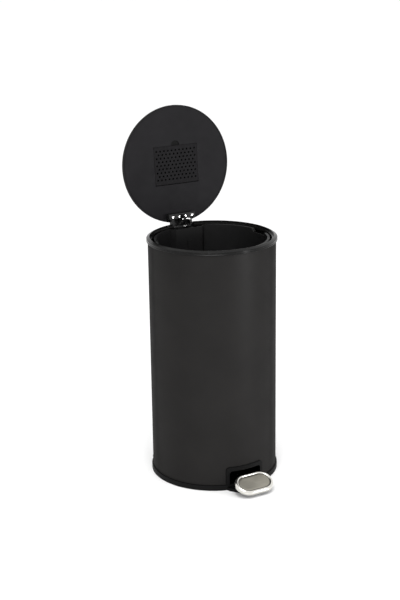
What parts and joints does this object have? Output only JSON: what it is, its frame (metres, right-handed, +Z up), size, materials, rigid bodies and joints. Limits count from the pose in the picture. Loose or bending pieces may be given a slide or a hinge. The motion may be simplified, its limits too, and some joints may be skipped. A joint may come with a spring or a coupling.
{
  "type": "pedal trash can",
  "caption": "Round steel pedal bin with a hinged domed lid, a lid-underside air filter cover, a lift-out inner bucket and a foot pedal linked to the lid by a lift rod.",
  "frame": {"origin": "on the can's axis, at the floor, at the middle of the base", "axes": "+Z up along the can's axis; -Y towards the pedal; +Y towards the lid hinge; +X to the right seen from the front"},
  "size_m": [0.298, 0.4039, 0.8386],
  "materials": {
    "dark_steel": "satin",
    "black_plastic": "fine texture",
    "gloss_black": "semi-gloss",
    "grey_plastic": "plain",
    "stainless": "brushed",
    "bright_steel": "zinc plated",
    "rubber_pad": "matt",
    "carbon_foam": "open foam"
  },
  "bodies": {
    "can": {"base": "black_plastic", "anti_slip_pads": "rubber_pad", "outer_shell": "dark_steel", "base_screws": "bright_steel", "top_ring": "gloss_black", "pedal_bezel": "black_plastic", "hinge_mount": "black_plastic", "hinge_mount_screws": "bright_steel", "hinge_pin": "bright_steel", "pin_clips": "bright_steel", "rod_guides": "black_plastic", "guide_rivets": "bright_steel", "lever_axle": "bright_steel", "axle_clips": "bright_steel"},
    "lid": {"lid_cap": "dark_steel", "lid_liner": "black_plastic", "charcoal_filter": "carbon_foam", "lid_hinge_bracket": "black_plastic", "lid_bracket_screws": "bright_steel"},
    "filter_cover": {"filter_cover": "black_plastic"},
    "lift_rod": {"lift_rod": "bright_steel", "rod_clips": "bright_steel"},
    "pedal": {"pedal_lever": "bright_steel", "lever_bush": "grey_plastic", "pedal_carrier": "black_plastic", "pedal_pad": "stainless", "pedal_screws": "bright_steel"},
    "bucket": {"inner_bucket": "black_plastic"}
  },
  "joints": [
    {"name": "lid_hinge", "type": "hinge", "parent": "can", "child": "lid", "pos_m": [0, 0.147, 0.5554], "axis": [1, 0, 0], "range_deg": [0, 95]},
    {"name": "pedal_pivot", "type": "hinge", "parent": "can", "child": "pedal", "pos_m": [0, -0.025, 0.0285], "axis": [1, 0, 0], "range_deg": [-11.6, 0]},
    {"name": "rod_slide", "type": "slide", "parent": "can", "child": "lift_rod", "axis": [0, 0, 1], "range_m": [-0.0321, 0]},
    {"name": "filter_cover_hinge", "type": "hinge", "parent": "lid", "child": "filter_cover", "pos_m": [0, 0.16514, 0.65721], "axis": [1, 0, 0], "range_deg": [0, 100]},
    {"name": "bucket_lift", "type": "slide", "parent": "can", "child": "bucket", "axis": [0, 0, 1], "range_m": [0, 0.62]}
  ],
  "couplings": [
    {"joint": "pedal_pivot", "follows": "lid_hinge", "ratio": -0.12208},
    {"joint": "rod_slide", "follows": "lid_hinge", "m_per_rad": -0.019356}
  ]
}
